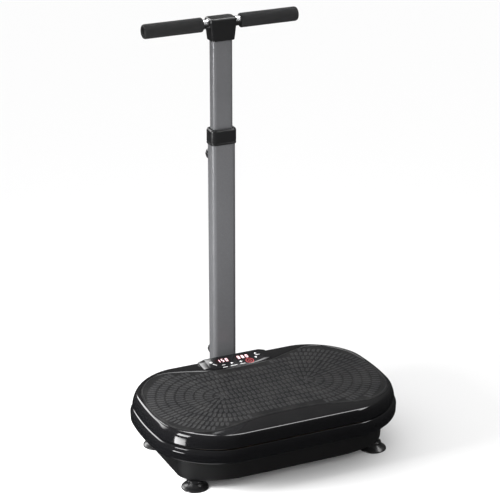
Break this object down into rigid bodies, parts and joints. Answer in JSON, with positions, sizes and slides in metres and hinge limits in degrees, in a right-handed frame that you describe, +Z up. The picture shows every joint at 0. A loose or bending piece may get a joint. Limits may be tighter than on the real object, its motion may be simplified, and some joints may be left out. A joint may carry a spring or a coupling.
{
  "type": "vibration plate",
  "caption": "Oscillating vibration exercise plate: rubber-topped rocking deck on a motor base with sucker feet, rear console and a telescopic mast with a T handlebar and foam grips.",
  "frame": {"origin": "on the floor, under the middle of the overall box", "axes": "+Z up, +X to the user's right as they stand on the deck facing the console, +Y towards the mast"},
  "size_m": [0.6918, 0.568, 1.1108],
  "materials": {
    "gloss_black": "high gloss moulded shells and console film",
    "satin_black_plastic": "satin black moulding",
    "sleeve_plastic": "natural sliding plastic",
    "rubber_black": "black moulded rubber",
    "mat_grey": "grey rubber mat with short raised dashes",
    "foam_black": "closed-cell foam sleeve",
    "tube_grey": "silver-grey metallic powder coat",
    "painted_black": "black powder coat",
    "bare_steel": "turned or zinc plated steel",
    "cast_alloy": "cast alloy",
    "plywood": "plywood board",
    "circuit_card": "green circuit card"
  },
  "bodies": {
    "base": {"base_pan": "satin_black_plastic", "chassis_frame": "painted_black", "foot_front_left": "rubber_black", "foot_front_right": "rubber_black", "foot_rear_left": "rubber_black", "foot_rear_right": "rubber_black", "buffer_front_left": "rubber_black", "buffer_front_right": "rubber_black", "buffer_rear_left": "rubber_black", "buffer_rear_right": "rubber_black", "pivot_post_front": "painted_black", "pivot_post_rear": "painted_black", "pivot_bush_front": "sleeve_plastic", "pivot_bush_rear": "sleeve_plastic", "crank_block_front": "cast_alloy", "crank_block_rear": "cast_alloy", "crank_bearing_front": "bare_steel", "crank_bearing_rear": "bare_steel", "drive_belt": "rubber_black", "motor_housing": "painted_black", "motor_bracket": "painted_black", "control_board": "circuit_card", "power_supply": "painted_black", "inlet_module": "satin_black_plastic", "mast_bracket": "painted_black", "bracket_bolt_left": "bare_steel", "bracket_bolt_right": "bare_steel", "lower_tube": "tube_grey", "guide_sleeve": "sleeve_plastic", "clamp_collar": "satin_black_plastic", "knob_nut": "bare_steel"},
    "deck": {"upper_shell": "gloss_black", "lower_shell": "gloss_black", "deck_mat": "mat_grey", "deck_frame": "painted_black", "deck_board": "plywood", "console_panel": "gloss_black", "display_left": "gloss_black", "display_right": "gloss_black", "pivot_pin_front": "bare_steel", "pivot_pin_rear": "bare_steel", "rod_pin_front": "bare_steel", "rod_pin_rear": "bare_steel"},
    "rod_front": {"connecting_rod_front": "cast_alloy"},
    "rod_rear": {"connecting_rod_rear": "cast_alloy"},
    "crank": {"crankshaft": "bare_steel", "crank_pulley": "bare_steel"},
    "rotor": {"motor_rotor": "bare_steel", "motor_pulley": "bare_steel"},
    "mast": {"upper_tube": "tube_grey", "slide_bush": "sleeve_plastic", "head_housing": "satin_black_plastic", "handlebar_tube": "bare_steel", "grip_left": "foam_black", "grip_right": "foam_black", "end_cap_left": "satin_black_plastic", "end_cap_right": "satin_black_plastic"},
    "height_knob": {"height_knob": "satin_black_plastic"},
    "mast_knob": {"mast_knob": "satin_black_plastic"},
    "rocker": {"rocker_switch": "satin_black_plastic"}
  },
  "joints": [
    {"name": "deck_rock", "type": "hinge", "parent": "base", "child": "deck", "pos_m": [0, -0.059, 0.112], "axis": [0, 1, 0], "range_deg": [-1.2, 1.2], "stiffness_Nm_per_rad": 150},
    {"name": "rod_front_swing", "type": "hinge", "parent": "deck", "child": "rod_front", "pos_m": [0.15, -0.179, 0.128], "axis": [0, 1, 0], "range_deg": [-1.2, 1.2]},
    {"name": "rod_rear_swing", "type": "hinge", "parent": "deck", "child": "rod_rear", "pos_m": [0.15, 0.061, 0.128], "axis": [0, 1, 0], "range_deg": [-1.2, 1.2]},
    {"name": "crank_spin", "type": "hinge", "parent": "base", "child": "crank", "pos_m": [0.15, -0.059, 0.088], "axis": [0, 1, 0], "continuous": true},
    {"name": "motor_spin", "type": "hinge", "parent": "base", "child": "rotor", "pos_m": [-0.095, -0.059, 0.088], "axis": [0, 1, 0], "continuous": true},
    {"name": "mast_slide", "type": "slide", "parent": "base", "child": "mast", "axis": [0, 0, 1], "range_m": [-0.235, 0.033]},
    {"name": "height_knob_turn", "type": "hinge", "parent": "base", "child": "height_knob", "pos_m": [0, 0.255, 0.7183], "axis": [0, 1, 0], "range_deg": [-360, 0]},
    {"name": "mast_knob_turn", "type": "hinge", "parent": "base", "child": "mast_knob", "pos_m": [0, 0.255, 0.1483], "axis": [0, 1, 0], "range_deg": [-360, 0]},
    {"name": "rocker_tilt", "type": "hinge", "parent": "base", "child": "rocker", "pos_m": [-0.29211, -0.0475, 0.06], "axis": [0, 1, 0], "range_deg": [-16, 0]}
  ],
  "couplings": [
    {"joint": "rod_front_swing", "follows": "deck_rock", "ratio": -1},
    {"joint": "rod_rear_swing", "follows": "deck_rock", "ratio": -1},
    {"joint": "motor_spin", "follows": "crank_spin", "ratio": 2.5}
  ]
}
